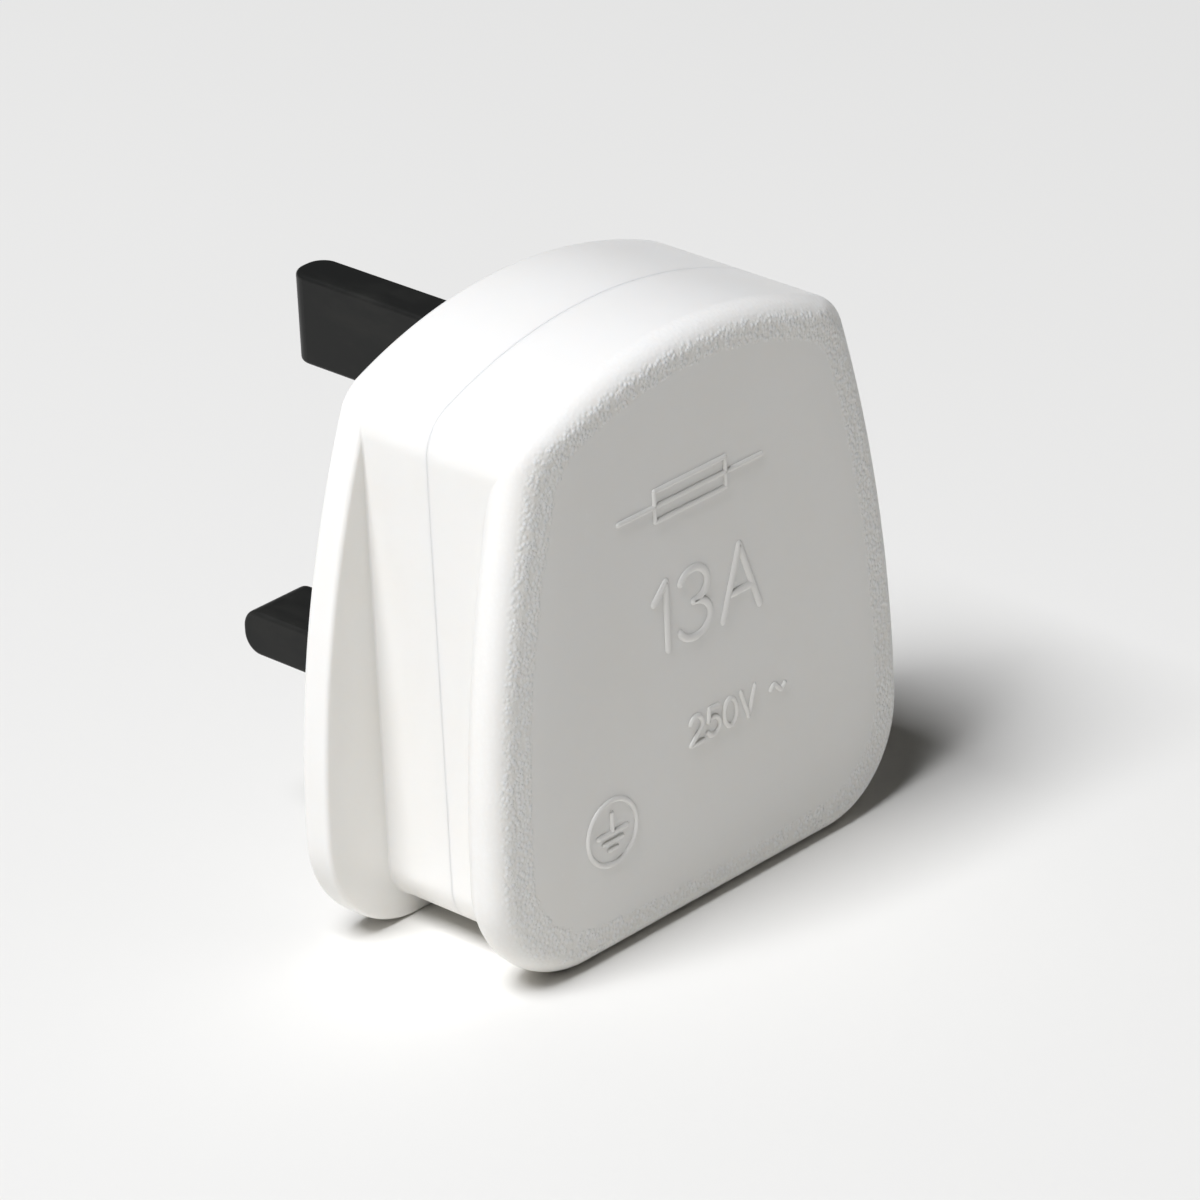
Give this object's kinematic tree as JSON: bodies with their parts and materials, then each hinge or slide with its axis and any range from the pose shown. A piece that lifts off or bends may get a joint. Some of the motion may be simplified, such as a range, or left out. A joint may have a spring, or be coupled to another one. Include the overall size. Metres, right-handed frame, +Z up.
{
  "type": "three pin mains plug",
  "caption": "Fused mains plug: white split body with a grained rim round a smooth panel, waisted finger grips, flat black pins, and terminals, fuse and cord grip inside.",
  "frame": {"origin": "on the pin face, half way between the earth pin's centre line and the line of the other two pins, in the plane of symmetry of the outside", "axes": "+Y the way the pins point into a socket, -Y the cover's face, +Z up towards the earth pin, +X to the right seen from the cover, where the live pin is"},
  "size_m": [0.0514, 0.0434, 0.0505],
  "materials": {
    "shell_white": "moulded gloss, grained on the rim",
    "pin_black": "black plated satin",
    "sleeve_black": "satin",
    "terminal_brass": "turned and milled",
    "clip_brass": "rolled strip",
    "fuse_ceramic": "unglazed",
    "fuse_cap_nickel": "plated",
    "fuse_wire": "drawn",
    "clamp_screw_brass": "turned",
    "screw_steel": "zinc plated",
    "retainer_fibre": "pressed fibre",
    "grip_grey": "moulded"
  },
  "bodies": {
    "root": {"base": "shell_white", "cover": "shell_white", "earth_pin": "pin_black", "neutral_pin": "pin_black", "live_pin": "pin_black", "neutral_pin_sleeve": "sleeve_black", "live_pin_sleeve": "sleeve_black", "live_terminal": "terminal_brass", "cover_insert": "terminal_brass", "live_pin_clip": "clip_brass", "live_terminal_clip": "clip_brass", "fuse_tube": "fuse_ceramic", "fuse_cap_lower": "fuse_cap_nickel", "fuse_cap_upper": "fuse_cap_nickel", "fuse_element": "fuse_wire", "earth_clamp_screw": "clamp_screw_brass", "neutral_clamp_screw": "clamp_screw_brass", "live_clamp_screw": "clamp_screw_brass", "cover_screw": "screw_steel", "cord_grip_screw_left": "screw_steel", "cord_grip_screw_right": "screw_steel", "cover_screw_retainer": "retainer_fibre", "cord_grip_bar": "grip_grey"}
  },
  "joints": []
}
